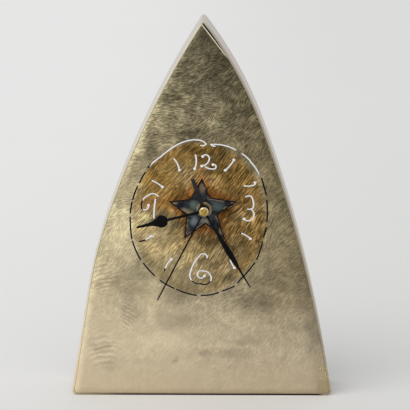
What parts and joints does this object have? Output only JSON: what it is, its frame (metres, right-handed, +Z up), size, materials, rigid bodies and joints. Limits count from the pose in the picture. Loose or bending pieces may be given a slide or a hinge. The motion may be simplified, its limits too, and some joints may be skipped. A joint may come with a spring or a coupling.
{
  "type": "steeple clock",
  "caption": "Lancet-shaped sheet-steel mantel clock with slit-cut numerals, ring and star on a heat-tinted face, black hands and a quartz alarm movement set through an open port in the back.",
  "frame": {"origin": "centre of the flat foot, on the surface the clock stands on", "axes": "+Z up to the apex, -Y out of the dial towards the viewer, +X to the viewer's right"},
  "size_m": [0.211, 0.0618, 0.3063],
  "materials": {
    "tinted_steel": "ground in swirls, heat tinted, clear lacquer",
    "band_steel": "fine linear brushing",
    "plain_steel": "mill finish, lightly brushed",
    "weld_bead": "as welded",
    "gasket_rubber": "matt",
    "brass": "turned",
    "movement_black": "moulded, fine grain",
    "knob_plastic": "moulded",
    "switch_plastic": "moulded",
    "plate_plastic": "moulded",
    "wheel_plastic": "moulded",
    "hand_black": "matt black",
    "alarm_grey": "matt dark grey",
    "magnet": "sintered",
    "motor_iron": "stamped",
    "copper_wire": "enamelled winding",
    "board": "lacquered laminate",
    "crystal_can": "plated can",
    "chip_resin": "potting resin",
    "buzzer_brass": "disc",
    "cell_sleeve": "plain printed sleeve, bright ends",
    "contact_steel": "plated strip"
  },
  "bodies": {
    "case": {"front_plate": "tinted_steel", "left_band": "band_steel", "right_band": "band_steel", "base_plate": "plain_steel", "back_plate": "plain_steel", "tack_welds": "weld_bead", "gasket": "gasket_rubber", "washer": "brass", "nut": "brass", "bushing": "brass", "movement_front_case": "movement_black", "movement_back_case": "movement_black", "mid_plate": "plate_plastic", "stator": "motor_iron", "coil_core": "motor_iron", "coil_winding": "copper_wire", "circuit_board": "board", "crystal": "crystal_can", "chip": "chip_resin", "buzzer": "buzzer_brass", "positive_contact": "contact_steel", "negative_contact": "contact_steel"},
    "alarm_indicator": {"alarm_hand": "alarm_grey", "alarm_wheel": "wheel_plastic"},
    "hour": {"hour_hand": "hand_black", "hour_wheel": "wheel_plastic"},
    "minute": {"minute_hand": "hand_black", "minute_wheel": "wheel_plastic"},
    "second": {"second_hand": "hand_black", "second_boss": "brass", "second_wheel": "wheel_plastic"},
    "third": {"third_wheel": "wheel_plastic"},
    "intermediate": {"intermediate_wheel": "wheel_plastic"},
    "rotor": {"rotor_arbor": "wheel_plastic", "rotor_magnet": "magnet"},
    "time_set": {"time_knob": "knob_plastic", "motion_wheel": "wheel_plastic"},
    "alarm_set": {"alarm_knob": "knob_plastic", "alarm_pinion": "wheel_plastic"},
    "switch": {"alarm_switch": "switch_plastic"},
    "cell": {"battery": "cell_sleeve"}
  },
  "joints": [
    {"name": "minute_turn", "type": "hinge", "parent": "case", "child": "minute", "pos_m": [0.0021, -0.01, 0.1541], "axis": [0, 1, 0], "continuous": true},
    {"name": "hour_turn", "type": "hinge", "parent": "case", "child": "hour", "pos_m": [0.0021, -0.01, 0.1541], "axis": [0, 1, 0], "continuous": true},
    {"name": "second_turn", "type": "hinge", "parent": "case", "child": "second", "pos_m": [0.0021, -0.01, 0.1541], "axis": [0, 1, 0], "continuous": true},
    {"name": "third_turn", "type": "hinge", "parent": "case", "child": "third", "pos_m": [0.00019, -0.01, 0.16493], "axis": [0, 1, 0], "continuous": true},
    {"name": "intermediate_turn", "type": "hinge", "parent": "case", "child": "intermediate", "pos_m": [0.01056, -0.01, 0.15718], "axis": [0, 1, 0], "continuous": true},
    {"name": "rotor_turn", "type": "hinge", "parent": "case", "child": "rotor", "pos_m": [0.01497, -0.01, 0.16482], "axis": [0, 1, 0], "continuous": true},
    {"name": "time_set_turn", "type": "hinge", "parent": "case", "child": "time_set", "pos_m": [-0.00985, -0.01, 0.15515], "axis": [0, 1, 0], "continuous": true},
    {"name": "alarm_turn", "type": "hinge", "parent": "case", "child": "alarm_indicator", "pos_m": [0.0021, -0.01, 0.1541], "axis": [0, 1, 0], "continuous": true},
    {"name": "alarm_set_turn", "type": "hinge", "parent": "case", "child": "alarm_set", "pos_m": [0.01242, -0.01, 0.14687], "axis": [0, 1, 0], "continuous": true},
    {"name": "switch_slide", "type": "slide", "parent": "case", "child": "switch", "axis": [1, 0, 0], "range_m": [0, 0.004]},
    {"name": "battery_slide", "type": "slide", "parent": "case", "child": "cell", "axis": [0, 1, 0], "range_m": [0, 0.046]}
  ],
  "couplings": [
    {"joint": "hour_turn", "follows": "minute_turn", "ratio": 0.083333},
    {"joint": "time_set_turn", "follows": "minute_turn", "ratio": -0.33333},
    {"joint": "third_turn", "follows": "minute_turn", "ratio": -8},
    {"joint": "second_turn", "follows": "minute_turn", "ratio": 60},
    {"joint": "intermediate_turn", "follows": "minute_turn", "ratio": -300},
    {"joint": "rotor_turn", "follows": "minute_turn", "ratio": 1800},
    {"joint": "alarm_set_turn", "follows": "alarm_turn", "ratio": -3.2}
  ]
}
